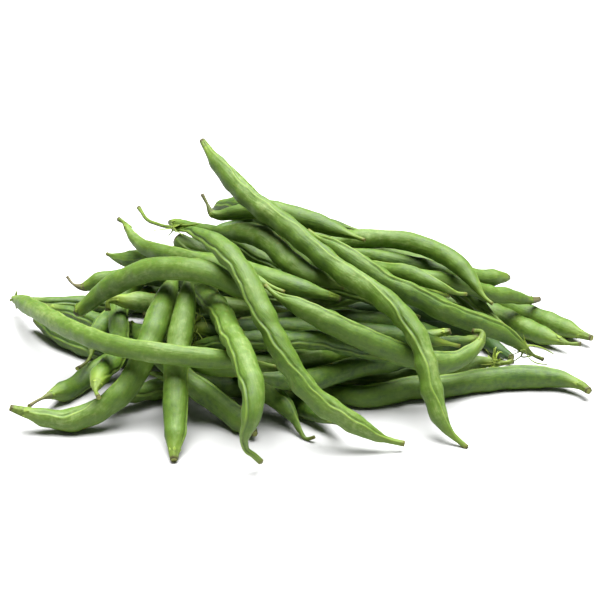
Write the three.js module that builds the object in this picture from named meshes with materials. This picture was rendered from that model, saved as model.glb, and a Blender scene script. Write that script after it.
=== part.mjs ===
// A loose heap of whole fresh green beans, lying on a flat surface. Millimetres, +Z up.
//
// Every bean is one closed solid, as it grew: stem stub, calyx collar, pod with its two seams and
// its seed swellings, and beak. Nothing ties the beans together: they lie on each other.
//
// A bean's route says where it runs, and its level how deep in the heap it starts: in layers under
// the heap's surface, or on the ground. Then the whole heap settles. Every bean sinks a little at a
// time, pushes off the beans that it meets and off the ground, and gives by shifting, tilting and
// bowing only, so that it stays a smooth bean of its own length.
//
// A route is drawn in one of two ways. Beans of the core and the back slope have a plan: points on
// the ground, in millimetres. Beans of the front have a card: points on an upright card that stands
// across the middle of the heap, square to a sight line that looks down on it from the front. A
// card point is counted in steps of CARD_STEP across and down from the card's top left corner. It
// fixes the line of sight that the bean crosses there, and settling moves the bean along that line.

import * as THREE from "three";

// Sight line and card.
const SIGHT_DISTANCE = 750;
const SIGHT_RISE = THREE.MathUtils.degToRad(25);
const SIGHT_TARGET = new THREE.Vector3(0, 0, 25);
const CARD_STEP = 1 / 2.6;
const CARD_MIDDLE = 300;

// Pod section: POD_SIDES corners, the first on the seam and the opposite one on the back ridge.
const POD_SIDES = 8;
const CHEEK_FLATTENING = 0.08;
const SEAM_RIDGE = 0.04;
const BACK_RIDGE = 0.02;
const SEED_SWELLING = 0.05;
const SEED_PITCH = 15;
const HIDDEN_SEED_PITCH = 26;

// Pod ends.
const BEAK_ROOT_SHARE = 0.32;
const BEAK_HOLLOW = 0.7;
const STEM_FLARE = 1.3;
const STEM_FLARE_LENGTH = 2.5;
const COLLAR_LENGTH = 2.2;
const LOBE_REACH = 1.5;
const LOBE_NOTCH = 0.85;
const THIN_STEP = 4.5;

// Ends as thick as any bean's: the heap settles as if every bean had them.
const THICKEST_ENDS = { stalk: 1.2, collar: 2.1, throat: 0.42, tip: 0.45 };

// The heap's surface: a ridge across the front, highest behind the middle.
const HEAP_HEIGHT = 62;
const HALF_LENGTH = 115;
const CREST_BACK = 18;
const FRONT_REACH = 101;
const BACK_REACH = 60;
const CREST_ROUNDING = 0.2;
const CREST_DEPTH = 14;
const SIGHT_SEARCH = 140;
const SIGHT_STEP = 1;
const LAYER_STEP = 8;
const GROUND = 99;

// Settling: each bean is SPOTS spots along its middle line. It sinks and is drawn to its route for
// SETTLING_PASSES, then only parts from its neighbours until none is more than TOUCHING too near.
const SPOTS = 25;
const AIR_GAP = 0.4;
const NEAR = 22;
const NEIGHBOURS_EVERY = 20;
const SETTLING_PASSES = 500;
const LAST_PASS = 2000;
const SINK_STEP = 0.03;
const TOUCHING = 0.03;
const PARALLEL = 1e-9;
const ROUTE_PULL = 0.2;
const SWAY_EASE = [1, 1, 0.3, 0.15];

// A bean on the ground is pressed PRESSED into it, and is flat where it is under FLAT_SPOT high.
const PRESSED = 0.6;
const FLAT_SPOT = 0.45;

const POD_COLOUR = new THREE.Color(0x6f9a4e);
const POD_ROUGHNESS = 0.45;

// What a bean has unless its own entry says otherwise: its girth; the lengths of its stem, of the
// slim start of its pod, of its neck, taper and beak; how many layers it lies under the heap's
// surface (one number, or one for each end); the seam's angle from the top and its twist; whether
// calyx lobes stand out; and whether the bean lies hidden inside the heap, where its seeds are
// modelled wider apart. Its ends are given by the radii of the stalk, the collar and the beak's tip,
// and by the throat: how thick the pod is at the collar, as a share of its girth.
const USUAL_BEAN = {
  girth: 8.8,
  stem: 5,
  slim: 0,
  neck: 18,
  taper: 18,
  beak: 7,
  level: 0,
  seam: 60,
  twist: 50,
  lobes: false,
  hidden: false,
  stalk: 0.85,
  collar: 1.6,
  throat: 0.34,
  tip: 0.45,
};

const BEANS = [
  // On the ground at the front.
  {
    name: "bean_ground_front",
    level: GROUND,
    card: [[343, 425], [330, 421], [312, 414], [299, 405], [285, 396], [265, 389], [243, 386],
      [220, 383], [197, 379], [170, 374], [140, 368]],
    girth: 8.2,
  },
  {
    name: "bean_ground_front_left",
    level: GROUND,
    card: [[108, 403], [124, 401], [144, 397], [172, 391], [205, 384], [250, 370], [300, 350]],
  },
  {
    name: "bean_ground_front_right",
    level: GROUND,
    card: [[589, 391], [576, 383], [560, 379], [538, 377], [517, 377], [484, 380], [463, 383],
      [441, 387], [412, 388], [392, 392], [371, 396], [351, 396], [331, 390], [306, 384]],
    girth: 9.2, stem: 6,
    stalk: 1.1, collar: 1.9,
  },
  {
    name: "bean_ground_frayed_right",
    level: GROUND,
    card: [[513, 361], [504, 363], [497, 363], [484, 361], [468, 366], [445, 371], [410, 374],
      [370, 376], [330, 376], [290, 374]],
    girth: 7.6, stem: 7,
  },
  {
    name: "bean_lower_right",
    level: 2.2,
    card: [[478, 337], [470, 340], [436, 347], [410, 355], [390, 362], [371, 364], [351, 368],
      [331, 374], [312, 379], [285, 380], [245, 374]],
    girth: 8.2, stem: 3,
  },
  {
    name: "bean_lower_middle",
    level: [2.01, 3.13],
    card: [[450, 331], [430, 336], [400, 341], [354, 351], [338, 354], [317, 358], [293, 360],
      [265, 364], [235, 367], [205, 367], [178, 365]],
    girth: 8.2, stem: 2,
  },
  // On the ground at the sides.
  {
    name: "bean_ground_left_low",
    level: GROUND,
    card: [[35, 320], [49, 329], [65, 338], [81, 345], [98, 351], [125, 356], [160, 356],
      [200, 352], [250, 346], [300, 340]],
    girth: 8.2, stem: 3,
  },
  {
    name: "bean_ground_left_middle",
    level: GROUND,
    card: [[44, 306], [66, 311], [90, 319], [118, 328], [150, 334], [190, 337], [235, 336],
      [280, 332]],
    girth: 8, stem: 4,
  },
  {
    name: "bean_ground_left_high",
    level: GROUND,
    card: [[26, 300], [54, 303], [90, 304], [130, 306], [170, 310], [215, 312], [260, 314], [310, 316]],
    girth: 7.4, stem: 3,
  },
  {
    name: "bean_ground_right_low",
    level: GROUND,
    card: [[581, 344], [571, 344], [562, 342], [555, 339], [538, 334], [517, 324], [495, 313],
      [470, 305], [440, 302], [400, 302], [350, 305], [310, 308]],
    stem: 9, neck: 12,
    stalk: 0.7,
  },
  {
    name: "bean_ground_right_high",
    level: GROUND,
    card: [[592, 338], [586, 336], [571, 330], [549, 322], [527, 314], [500, 303], [470, 292],
      [430, 284], [380, 280], [330, 280]],
    girth: 8.4, stem: 5, neck: 10,
    stalk: 0.9,
  },
  {
    name: "bean_ground_cut_right",
    level: GROUND,
    card: [[512, 358], [506, 354], [495, 348], [487, 340], [470, 332], [448, 326], [425, 322],
      [390, 320], [350, 322], [305, 326], [265, 330]],
    girth: 7.6, stem: 1.5,
  },
  // Hidden beans of the lower heap.
  { name: "bean_core_01", plan: [[-58, 62], [-20, 66], [22, 64], [60, 58]], level: GROUND, hidden: true },
  { name: "bean_core_02", plan: [[-60, 30], [-25, 34], [20, 30], [58, 22]], level: 5, hidden: true },
  { name: "bean_core_03", plan: [[-62, 14], [-24, 16], [18, 12], [58, 10]], level: 3, hidden: true },
  { name: "bean_core_04", plan: [[-56, 46], [-12, 50], [26, 48], [62, 44]], level: 2, hidden: true },
  // The back slope.
  {
    name: "bean_back_low_left",
    plan: [[-74, 44], [-44, 60], [-6, 68], [30, 64]],
    level: 1.5,
  },
  {
    name: "bean_back_low_right",
    plan: [[80, 48], [50, 62], [14, 68], [-22, 64]],
    level: 1,
    girth: 8.2,
  },
  {
    name: "bean_back_middle_left",
    plan: [[-66, 36], [-34, 50], [2, 56], [36, 50]],
    level: 0.6,
  },
  {
    name: "bean_back_leaning",
    plan: [[46, 70], [26, 56], [0, 40], [-30, 26]],
    level: [1.5, 1.6],
  },
  // The left side.
  {
    name: "bean_left_thin_stem",
    level: 3,
    card: [[29, 407], [36, 402], [49, 396], [62, 392], [70, 390], [81, 381], [92, 373], [110, 362],
      [135, 350], [165, 338], [200, 330], [240, 322]],
    girth: 8, stem: 14, neck: 8,
    stalk: 0.6, collar: 1.3,
  },
  {
    name: "bean_left_facing",
    level: [2.47, 3.07],
    card: [[99, 398], [96, 391], [98, 382], [101, 376], [108, 367], [117, 357], [120, 335],
      [119, 317], [122, 302], [130, 288], [142, 274], [160, 262], [180, 252]],
    girth: 8, stem: 9, neck: 8,
    stalk: 0.7, collar: 1.8, throat: 0.46,
  },
  {
    name: "bean_left_hanging_stem",
    level: [2.27, 3.49],
    card: [[77, 369], [87, 362], [92, 352], [93, 343], [98, 332], [108, 320], [125, 306],
      [150, 294], [180, 284], [210, 277]],
    girth: 8, stem: 19, neck: 12,
    stalk: 0.6, collar: 1.2,
  },
  {
    name: "bean_left_curled_stem",
    level: [1.2, 3.2],
    card: [[107, 311], [106, 304], [111, 299], [118, 300], [126, 301], [137, 301], [151, 302],
      [180, 303], [215, 304], [255, 308], [300, 312]],
    girth: 7.6, stem: 7, neck: 9,
    stalk: 0.9, collar: 2, throat: 0.46,
  },
  {
    name: "bean_left_corner",
    level: [1.34, 0.52],
    card: [[10, 407], [22, 411], [33, 414], [49, 418], [70, 420], [92, 413], [114, 400], [129, 384],
      [141, 365], [150, 343], [158, 322], [165, 302], [173, 284], [181, 270]],
    girth: 9.4, stem: 5,
    stalk: 0.9, collar: 1.4,
  },
  {
    name: "bean_left_toward_front",
    level: [1.22, 1.39],
    card: [[174, 460], [174, 450], [175, 437], [175, 413], [175, 389], [176, 365], [178, 345],
      [182, 322], [186, 298], [188, 282], [192, 266]],
    girth: 9.2, stem: 3, neck: 11,
    stalk: 1, collar: 1.7,
  },
  {
    name: "bean_left_dark_stem",
    level: [1.3, 3],
    card: [[67, 277], [72, 284], [80, 289], [98, 283], [117, 280], [135, 278], [165, 279],
      [205, 284], [245, 292]],
    girth: 7.6, stem: 9, neck: 8,
    stalk: 0.5, collar: 1.4,
  },
  {
    name: "bean_left_upper",
    level: 0.9,
    card: [[340, 300], [300, 292], [260, 280], [220, 268], [180, 262], [152, 259], [140, 260],
      [127, 260], [116, 258], [107, 254]],
    girth: 8.4, taper: 9, beak: 3,
  },
  {
    name: "bean_left_flared_stem",
    level: [0.2, 1],
    card: [[119, 219], [125, 223], [130, 232], [136, 240], [145, 247], [158, 252], [172, 255],
      [188, 259], [215, 266], [250, 278], [285, 292]],
    girth: 7.2, stem: 7, neck: 26,
    stalk: 0.75, collar: 1.2, throat: 0.3,
  },
  {
    name: "bean_left_round_end",
    level: [0.6, 3],
    card: [[177, 238], [185, 244], [196, 249], [215, 256], [245, 268], [280, 284], [310, 298],
      [340, 308], [370, 314]],
    girth: 8.2, stem: 1, neck: 6,
    stalk: 1.4, collar: 2.4, throat: 0.7,
  },
  // Across the front.
  {
    name: "bean_front_crossing",
    level: [0.6, 2.7],
    card: [[255, 434], [247, 426], [235, 416], [217, 402], [199, 389], [189, 383], [170, 365],
      [150, 345], [130, 322]],
    girth: 9, stem: 2, neck: 8,
  },
  {
    name: "bean_front_hooked",
    level: [3.4, 2.3],
    card: [[196, 318], [215, 338], [240, 362], [262, 384], [275, 397], [287, 407], [295, 418],
      [301, 430], [307, 440], [315, 437]],
    girth: 9, beak: 12, taper: 14,
  },
  {
    name: "bean_front_under_crossing",
    level: [2.42, 0.53],
    card: [[186, 346], [215, 342], [240, 340], [262, 340], [284, 341], [311, 340],
      [333, 343], [365, 350], [395, 356], [425, 362]],
    girth: 7.6,
  },
  {
    name: "bean_front_frayed",
    level: [1.77, 2.04],
    card: [[186, 322], [196, 325], [203, 327], [220, 329], [248, 327], [287, 326], [305, 327],
      [340, 330], [380, 334], [430, 340], [460, 346]],
    girth: 7.8, stem: 3, lobes: true,
    collar: 2.1, throat: 0.42,
  },
  {
    name: "bean_middle_low",
    level: [2.17, 2.86],
    card: [[240, 320], [262, 320], [300, 319], [345, 318], [362, 320], [382, 321], [402, 325], [430, 333],
      [468, 345]],
    girth: 7.6,
  },
  {
    name: "bean_middle_dark",
    level: [2.92, 2.65],
    card: [[262, 318], [300, 315], [335, 312], [349, 311], [365, 309], [400, 310],
      [440, 316], [468, 324]],
    girth: 7.6,
  },
  {
    name: "bean_middle_narrow",
    level: 1.5,
    card: [[205, 286], [250, 290], [285, 293], [311, 296], [330, 295], [348, 291], [380, 286],
      [420, 286], [450, 294]],
    girth: 6.4,
  },
  {
    name: "bean_front_star",
    level: [-0.61, 1.62],
    card: [[13, 298], [24, 304], [39, 312], [61, 325], [87, 336], [119, 345], [152, 349],
      [184, 352], [217, 354], [240, 356], [262, 359], [278, 362]],
    girth: 7.8, stem: 4, lobes: true,
  },
  {
    name: "bean_front_tail",
    level: [1.02, -0.13],
    card: [[182, 268], [191, 281], [206, 291], [212, 298], [224, 314], [231, 331], [241, 350],
      [248, 370], [253, 389], [253, 405], [250, 421], [246, 433], [244, 447], [253, 455], [260, 461]],
    girth: 9.2, beak: 13, taper: 16,
    tip: 1,
  },
  // The right side.
  {
    name: "bean_right_blunt",
    level: 1,
    card: [[509, 277], [500, 276], [485, 276], [470, 274], [445, 270], [410, 262], [370, 256],
      [330, 252]],
    girth: 7, stem: 2, neck: 8,
    throat: 0.5,
  },
  {
    name: "bean_right_grey_tail",
    level: 1,
    card: [[539, 299], [528, 300], [519, 298], [506, 295], [491, 294], [480, 290], [460, 284],
      [430, 278], [390, 272], [350, 268]],
    girth: 7.2, stem: 5,
  },
  {
    name: "bean_right_inner",
    level: [2.8, 1.6],
    card: [[330, 246], [378, 252], [400, 256], [424, 263], [450, 273], [463, 285], [473, 298], [484, 308],
      [495, 317], [504, 325]],
    girth: 7.8,
  },
  {
    name: "bean_right_bright",
    level: [2.72, 0.26],
    card: [[262, 262], [320, 260], [355, 265], [388, 270], [405, 272], [424, 279], [443, 287], [457, 293],
      [467, 294]],
    girth: 7,
  },
  {
    name: "bean_right_second",
    level: [3.4, 1.7],
    card: [[300, 246], [340, 249], [371, 253], [400, 259], [430, 271], [452, 286], [466, 301], [480, 314],
      [492, 322]],
    girth: 7.8,
  },
  // Over the crest.
  {
    name: "bean_crest_cross",
    level: [1.2, 3],
    card: [[205, 230], [218, 236], [235, 241], [250, 251], [262, 259], [276, 264], [295, 272],
      [330, 284], [360, 292], [395, 304]],
    girth: 7.6,
  },
  {
    name: "bean_crest_arch_under",
    level: [1.98, 0.9],
    card: [[200, 290], [225, 284], [240, 281], [258, 279], [272, 281], [286, 284], [301, 285], [330, 290],
      [365, 298], [395, 308], [420, 318]],
    girth: 7.4,
  },
  {
    name: "bean_crest_back_low",
    level: [2.6, 1.4],
    card: [[170, 246], [200, 231], [230, 219], [260, 214], [290, 214], [318, 219], [343, 226],
      [368, 233]],
    girth: 7,
  },
  {
    name: "bean_crest_back",
    level: 0.8,
    card: [[202, 194], [208, 205], [214, 215], [226, 214], [246, 210], [275, 210], [300, 217],
      [320, 223], [343, 232], [365, 240]],
    girth: 8, stem: 9,
    stalk: 0.6, collar: 1.1, throat: 0.3,
  },
  {
    name: "bean_crest_round_end",
    level: [0.8, 2.56],
    card: [[214, 225], [220, 222], [229, 220], [243, 219], [256, 223], [275, 235], [292, 249],
      [310, 261], [335, 273], [365, 284]],
    girth: 7.8, stem: 1.5, neck: 10,
  },
  {
    name: "bean_crest_hump",
    level: 0.22,
    card: [[170, 222], [185, 225], [205, 229], [222, 231], [238, 232], [250, 233], [262, 237],
      [274, 246], [285, 258], [299, 269], [320, 279], [345, 287]],
    girth: 9, stem: 3, slim: 30, neck: 14, taper: 14, beak: 4,
    throat: 0.44, tip: 1,
  },
  {
    name: "bean_crest_arch",
    level: [-0.04, 0.06],
    card: [[76, 314], [87, 305], [108, 288], [130, 277], [156, 269], [184, 269], [212, 273],
      [234, 286], [249, 295], [262, 304]],
    girth: 9, stem: 1.5, neck: 26, throat: 0.5,
  },
  {
    name: "bean_front_curled",
    level: 0.5,
    card: [[473, 331], [480, 329], [483, 336], [476, 347], [465, 356], [450, 362], [430, 362],
      [410, 357], [400, 353], [382, 346], [360, 337], [338, 326], [317, 316], [295, 305],
      [276, 295], [265, 285]],
    girth: 8.8, stem: 8,
  },
  // Draped over the rest.
  {
    name: "bean_top_right",
    level: [1.6, 0.3],
    card: [[312, 256], [328, 247], [345, 242], [367, 241], [386, 241], [410, 244], [434, 252],
      [452, 261], [468, 276], [477, 289], [485, 298], [493, 304]],
    girth: 7.6,
  },
  {
    name: "bean_top_torn",
    level: 0,
    card: [[543, 359], [528, 352], [519, 343], [511, 338], [495, 329], [473, 321], [452, 314],
      [434, 305], [415, 295], [396, 288], [376, 276], [357, 263], [338, 249], [319, 238], [308, 230]],
    girth: 8.8, stem: 9,
    stalk: 0.65, collar: 1.4,
  },
  {
    name: "bean_top_front",
    level: [-1, 0.4],
    card: [[138, 208], [144, 219], [160, 226], [180, 230], [194, 233], [203, 237], [217, 245],
      [232, 260], [246, 279], [256, 300], [266, 320], [277, 343], [291, 367], [306, 389],
      [323, 405], [341, 415], [361, 428], [382, 438], [392, 441], [404, 443]],
    girth: 9, stem: 40, neck: 22,
    stalk: 0.7, collar: 1.6, throat: 0.36, tip: 0.95,
  },
  {
    name: "bean_top_leaning",
    level: [-2, 0.4],
    card: [[202, 140], [211, 154], [233, 181], [256, 204], [279, 219], [302, 239], [325, 258],
      [348, 276], [372, 290], [393, 306], [407, 320], [420, 341], [426, 361], [430, 382],
      [435, 402], [444, 427], [467, 447]],
    girth: 8.8, stem: 5,
    stalk: 0.9, collar: 1.3, throat: 0.3, tip: 0.8,
  },
];

// ---- where a bean runs ----

const eye = new THREE.Vector3(0, -Math.cos(SIGHT_RISE), Math.sin(SIGHT_RISE))
  .multiplyScalar(SIGHT_DISTANCE)
  .add(SIGHT_TARGET);
const cardUp = new THREE.Vector3(0, Math.sin(SIGHT_RISE), Math.cos(SIGHT_RISE));
const UP = new THREE.Vector3(0, 0, 1);

// Height of the heap's surface over a place on the ground.
function heapSurface(x, y) {
  const out = y - CREST_BACK;
  const reach = out < 0 ? FRONT_REACH : BACK_REACH;
  const slope = 1 + CREST_ROUNDING - Math.hypot(out / reach, CREST_ROUNDING);
  const fall = 1 - (x / HALF_LENGTH) ** 2;
  return HEAP_HEIGHT * Math.max(0, fall) * Math.max(0, slope);
}

// Unit direction of the line of sight through a point of the card.
function sightDirection(cardPoint) {
  const across = (cardPoint.x - CARD_MIDDLE) * CARD_STEP;
  const up = (CARD_MIDDLE - cardPoint.y) * CARD_STEP;
  const onCard = SIGHT_TARGET.clone().addScaledVector(cardUp, up);
  onCard.x += across;
  return onCard.sub(eye).normalize();
}

// How far from the eye a line of sight comes down to a bean's layer, or passes over the crest.
function layerDistance(direction, radius, level) {
  let distance = SIGHT_DISTANCE - SIGHT_SEARCH;
  const point = new THREE.Vector3();
  let layer = -Infinity;
  do {
    distance += SIGHT_STEP;
    point.copy(eye).addScaledVector(direction, distance);
    layer = Math.max(radius, heapSurface(point.x, point.y) - radius - level * LAYER_STEP);
  } while (point.z > layer && point.y < CREST_BACK + CREST_DEPTH);
  return distance;
}

// Least-squares parabola through [place, value] pairs.
function parabolaThrough(pairs) {
  const sums = [0, 0, 0, 0, 0];
  const right = [0, 0, 0];
  pairs.forEach(([place, value]) => {
    for (let power = 0; power < 5; power += 1) sums[power] += place ** power;
    for (let power = 0; power < 3; power += 1) right[power] += value * place ** power;
  });
  const matrix = new THREE.Matrix3(
    sums[0], sums[1], sums[2],
    sums[1], sums[2], sums[3],
    sums[2], sums[3], sums[4],
  );
  const factors = new THREE.Vector3(...right).applyMatrix3(matrix.invert());
  return (place) => factors.x + factors.y * place + factors.z * place * place;
}

// Evenly spaced spots of a smooth line through the drawn points.
function drawnLine(points) {
  const corners = points.map(([x, y]) => new THREE.Vector3(x, y, 0));
  return new THREE.CatmullRomCurve3(corners, false, "centripetal").getSpacedPoints(SPOTS - 1);
}

function lengthsAlong(points) {
  const lengths = [0];
  for (let k = 1; k < points.length; k += 1) {
    lengths.push(lengths[k - 1] + points[k].distanceTo(points[k - 1]));
  }
  return lengths;
}

// The bean's layer at a share of its length: one number, or one for each end.
function levelAt(bean, share) {
  const [start, end] = Array.isArray(bean.level) ? bean.level : [bean.level, bean.level];
  return THREE.MathUtils.lerp(start, end, share);
}

// Starting spots of a bean that is drawn in plan. It stays on the upright lines over its route.
function startingOnPlan(bean, radius) {
  const drawn = drawnLine(bean.plan);
  const heightAt = parabolaThrough(drawn.map(({ x, y }, k) => {
    const share = k / (SPOTS - 1);
    return [share, Math.max(radius, heapSurface(x, y) - radius - levelAt(bean, share) * LAYER_STEP)];
  }));
  const spots = drawn.map(({ x, y }, k) =>
    new THREE.Vector3(x, y, Math.max(radius, heightAt(k / (SPOTS - 1)))));
  return { spots, sights: drawn.map(() => UP), anchors: spots };
}

// Spots along a bean before the heap settles, and the lines that it has to stay on: each runs
// through an anchor, along a sight.
function startingLine(bean) {
  const radius = bean.girth / 2;
  if (bean.plan) return startingOnPlan(bean, radius);
  const sights = drawnLine(bean.card).map(sightDirection);
  const anchors = sights.map(() => eye);
  if (bean.level === GROUND) {
    const spots = sights.map((sight) =>
      eye.clone().addScaledVector(sight, (radius - eye.z) / sight.z));
    return { spots, sights, anchors };
  }
  const distanceAt = parabolaThrough(sights.map((sight, k) => {
    const share = k / (SPOTS - 1);
    return [share, layerDistance(sight, radius, levelAt(bean, share))];
  }));
  const spots = sights.map((sight, k) =>
    eye.clone().addScaledVector(sight, distanceAt(k / (SPOTS - 1))));
  return { spots, sights, anchors };
}

// ---- how thick a bean is ----

function smooth(value, start, end) {
  return THREE.MathUtils.smoothstep(value, start, end);
}

// Middle radius of a bean at a distance from its stem's cut end.
function radiusAt(bean, length, distance) {
  const body = bean.girth / 2;
  const podStart = bean.stem;
  const podEnd = length - bean.beak;
  if (distance < podStart) {
    const flare = 1 - smooth(distance, 0, Math.min(STEM_FLARE_LENGTH, podStart));
    const collar = smooth(distance, podStart - COLLAR_LENGTH, podStart);
    const stem = bean.stalk * (1 + (STEM_FLARE - 1) * flare);
    return THREE.MathUtils.lerp(stem, bean.collar, collar);
  }
  if (distance > podEnd) {
    const out = (distance - podEnd) / bean.beak;
    return THREE.MathUtils.lerp(body * BEAK_ROOT_SHARE, bean.tip, out ** BEAK_HOLLOW);
  }
  const neckStart = podStart + bean.slim;
  const swell = smooth(distance, neckStart - bean.neck / 4, neckStart + bean.neck);
  const neck = bean.throat + (1 - bean.throat) * swell;
  const left = Math.min(1, (podEnd - distance) / bean.taper);
  const taper = BEAK_ROOT_SHARE + (1 - BEAK_ROOT_SHARE) * Math.sin((left * Math.PI) / 2);
  return body * Math.min(neck, taper);
}

// Room that a bean needs round its middle line, ridges, collar and calyx lobes included.
function roomAt(bean, length, distance) {
  const lobes = bean.lobes && Math.abs(distance - bean.stem) < 2 * COLLAR_LENGTH ? LOBE_REACH : 1;
  return radiusAt({ ...bean, ...THICKEST_ENDS }, length, distance) * (1 + SEAM_RIDGE) * lobes;
}

// ---- settling ----

// The four smooth ways in which a bean gives: shift, tilt, bow and double bow.
function sway(share) {
  const s = 2 * share - 1;
  return [
    1,
    Math.sqrt(3) * s,
    (Math.sqrt(5) * (3 * s * s - 1)) / 2,
    (Math.sqrt(7) * (5 * s * s * s - 3 * s)) / 2,
  ];
}

function layLine(bean) {
  const { spots, sights, anchors } = startingLine(bean);
  const lengths = lengthsAlong(spots);
  const total = lengths[SPOTS - 1];
  const half = total / (SPOTS - 1) / 2;
  const radii = lengths.map((length) => Math.max(
    roomAt(bean, total, Math.max(0, length - half)),
    roomAt(bean, total, length),
    roomAt(bean, total, Math.min(total, length + half)),
  ));
  const shares = spots.map((_, k) => k / (SPOTS - 1));
  return {
    bean,
    sights,
    anchors,
    radii,
    start: spots,
    spots: spots.map((spot) => spot.clone()),
    sways: shares.map(sway),
    moved: SWAY_EASE.map(() => new THREE.Vector3()),
  };
}

function refresh(line) {
  line.spots.forEach((spot, k) => {
    spot.copy(line.start[k]);
    line.moved.forEach((by, m) => spot.addScaledVector(by, line.sways[k][m]));
  });
}

// Sways a bean so that a place on it, between spots k and k + 1, moves by a vector.
function swayBy(line, k, share, vector, amount) {
  SWAY_EASE.forEach((ease, m) => {
    const here = THREE.MathUtils.lerp(line.sways[k][m], line.sways[k + 1][m], share);
    line.moved[m].addScaledVector(vector, amount * ease * here);
  });
}

function giveAt(line, k, share) {
  return SWAY_EASE.reduce((sum, ease, m) => {
    const here = THREE.MathUtils.lerp(line.sways[k][m], line.sways[k + 1][m], share);
    return sum + ease * here * here;
  }, 0);
}

// Shares along two segments, a to b and c to d, at which they come nearest.
const along = new THREE.Vector3();
const alongOther = new THREE.Vector3();
const startToStart = new THREE.Vector3();

function nearestShares(a, b, c, d) {
  along.subVectors(b, a);
  alongOther.subVectors(d, c);
  startToStart.subVectors(a, c);
  const ownSquare = along.lengthSq();
  const otherSquare = alongOther.lengthSq();
  const both = along.dot(alongOther);
  const ownStart = along.dot(startToStart);
  const otherStart = alongOther.dot(startToStart);
  const spread = ownSquare * otherSquare - both * both;
  let own = 0.5;
  if (spread > PARALLEL) {
    own = THREE.MathUtils.clamp((both * otherStart - otherSquare * ownStart) / spread, 0, 1);
  }
  const otherShare = THREE.MathUtils.clamp((both * own + otherStart) / otherSquare, 0, 1);
  own = THREE.MathUtils.clamp((both * otherShare - ownStart) / ownSquare, 0, 1);
  return [own, otherShare];
}

function nearPairs(lines) {
  const pairs = [];
  const boxes = lines.map((line) => new THREE.Box3().setFromPoints(line.spots).expandByScalar(NEAR));
  for (let i = 0; i < lines.length; i += 1) {
    for (let j = i + 1; j < lines.length; j += 1) {
      if (!boxes[i].intersectsBox(boxes[j])) continue;
      for (let p = 0; p < SPOTS - 1; p += 1) {
        for (let q = 0; q < SPOTS - 1; q += 1) {
          if (lines[i].spots[p].distanceToSquared(lines[j].spots[q]) < NEAR * NEAR) {
            pairs.push([lines[i], p, lines[j], q]);
          }
        }
      }
    }
  }
  return pairs;
}

const between = new THREE.Vector3();
const other = new THREE.Vector3();

// Pushes apart two beans that are too near each other, and returns how much too near they were.
function partPair([one, p, two, q]) {
  const [s, t] = nearestShares(one.spots[p], one.spots[p + 1], two.spots[q], two.spots[q + 1]);
  between.lerpVectors(one.spots[p], one.spots[p + 1], s);
  other.lerpVectors(two.spots[q], two.spots[q + 1], t);
  between.sub(other);
  const reach = THREE.MathUtils.lerp(one.radii[p], one.radii[p + 1], s)
    + THREE.MathUtils.lerp(two.radii[q], two.radii[q + 1], t) + AIR_GAP;
  const apart = between.length();
  if (apart >= reach) return 0;
  between.divideScalar(apart);
  const amount = (reach - apart) / (giveAt(one, p, s) + giveAt(two, q, t));
  swayBy(one, p, s, between, amount);
  swayBy(two, q, t, between, -amount);
  refresh(one);
  refresh(two);
  return reach - apart;
}

// Lifts a bean off the ground where it has sunk in.
function liftLine(line) {
  for (let k = 0; k < SPOTS; k += 1) {
    const sunk = line.radii[k] - PRESSED - line.spots[k].z;
    if (sunk <= 0) continue;
    const near = Math.min(k, SPOTS - 2);
    swayBy(line, near, k - near, UP, sunk / giveAt(line, near, k - near));
    refresh(line);
  }
}

// Draws a bean back on to its route: its lines of sight, or the upright lines over its plan.
function backOnRoute(line) {
  line.moved.forEach((by, m) => {
    const off = new THREE.Vector3();
    line.spots.forEach((spot, k) => {
      const away = spot.clone().sub(line.anchors[k]);
      away.addScaledVector(line.sights[k], -away.dot(line.sights[k]));
      off.addScaledVector(away, line.sways[k][m] / SPOTS);
    });
    by.addScaledVector(off, -ROUTE_PULL);
  });
}

function settle(lines) {
  let pairs = [];
  let worst = Infinity;
  for (let pass = 0; pass < LAST_PASS; pass += 1) {
    if (pass >= SETTLING_PASSES && worst <= TOUCHING) break;
    if (pass % NEIGHBOURS_EVERY === 0) pairs = nearPairs(lines);
    if (pass < SETTLING_PASSES) {
      lines.forEach((line) => {
        line.moved[0].z -= SINK_STEP;
        backOnRoute(line);
        refresh(line);
      });
    }
    worst = 0;
    pairs.forEach((pair) => {
      worst = Math.max(worst, partPair(pair));
    });
    lines.forEach(liftLine);
  }
}

// ---- the solid of one bean ----

// Distances from the stem's cut end at which the bean gets a ring of corners.
function ringDistances(bean, length) {
  const podStart = bean.stem;
  const podEnd = length - bean.beak;
  const stemSteps = Math.max(1, Math.round(bean.stem / THIN_STEP));
  const beakSteps = Math.max(2, Math.round(bean.beak / THIN_STEP));
  const pitch = (bean.hidden ? HIDDEN_SEED_PITCH : SEED_PITCH) / 2;
  const podSteps = 2 * Math.round((podEnd - podStart) / pitch / 2);
  const distances = [];
  for (let k = 0; k <= stemSteps; k += 1) distances.push((k / stemSteps) * podStart);
  distances.push(podStart + COLLAR_LENGTH);
  for (let k = 1; k <= podSteps; k += 1) {
    distances.push(podStart + (k / podSteps) * (podEnd - podStart));
  }
  for (let k = 1; k < beakSteps; k += 1) distances.push(podEnd + (k / beakSteps) * bean.beak);
  return distances;
}

function pointAt(laidBean, lengths, distance) {
  let k = 1;
  while (k < lengths.length - 1 && lengths[k] < distance) k += 1;
  const share = (distance - lengths[k - 1]) / (lengths[k] - lengths[k - 1]);
  return laidBean.spots[k - 1].clone().lerp(laidBean.spots[k], share);
}

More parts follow.
